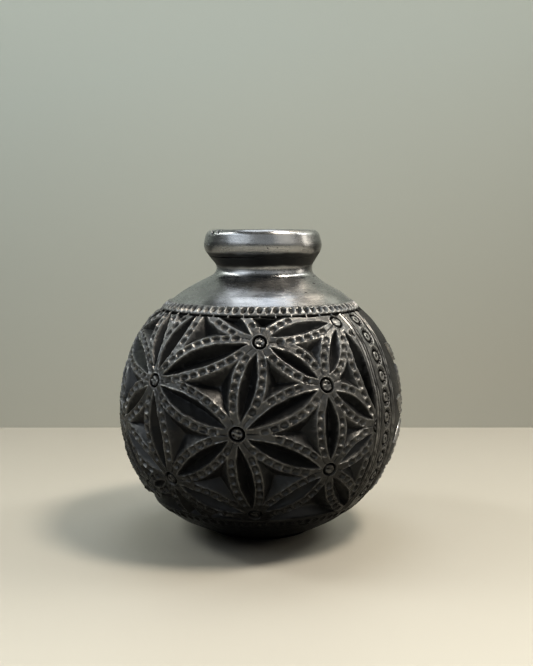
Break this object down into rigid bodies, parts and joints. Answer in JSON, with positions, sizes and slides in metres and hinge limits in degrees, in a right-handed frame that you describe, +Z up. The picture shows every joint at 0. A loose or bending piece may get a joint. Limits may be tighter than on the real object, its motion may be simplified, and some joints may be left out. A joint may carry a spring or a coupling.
{
  "type": "barro negro clay pot",
  "caption": "Round black clay pot with a short rolled neck, a chip-carved net of stars, dented cordons and a burnished side panel with a flower in relief.",
  "frame": {"origin": "centre of the face the pot stands on", "axes": "+Z up through the mouth, -Y the front with the carved net, +X the burnished side panel with the flower"},
  "size_m": [0.1212, 0.12, 0.1278],
  "materials": {
    "carved_clay": "satin, reduction-fired black clay, knife cut",
    "burnished_clay": "burnished to a graphite sheen",
    "strip_clay": "satin, stamped and dented",
    "relief_clay": "satin, stippled"
  },
  "bodies": {
    "root": {"base_disc": "burnished_clay", "lower_bowl": "carved_clay", "upper_bowl": "carved_clay", "shoulder": "burnished_clay", "neck": "burnished_clay", "lip": "burnished_clay", "upper_cordon": "strip_clay", "lower_cordon": "strip_clay", "rosette_band_front": "strip_clay", "rosette_band_back": "strip_clay", "flower_boss": "relief_clay", "flower_petal_1": "relief_clay", "flower_petal_2": "relief_clay", "flower_petal_3": "relief_clay", "flower_petal_4": "relief_clay", "flower_petal_5": "relief_clay", "flower_petal_6": "relief_clay", "flower_petal_7": "relief_clay", "flower_petal_8": "relief_clay", "leaf_1": "relief_clay", "leaf_2": "relief_clay", "leaf_3": "relief_clay", "leaf_4": "relief_clay"}
  },
  "joints": []
}
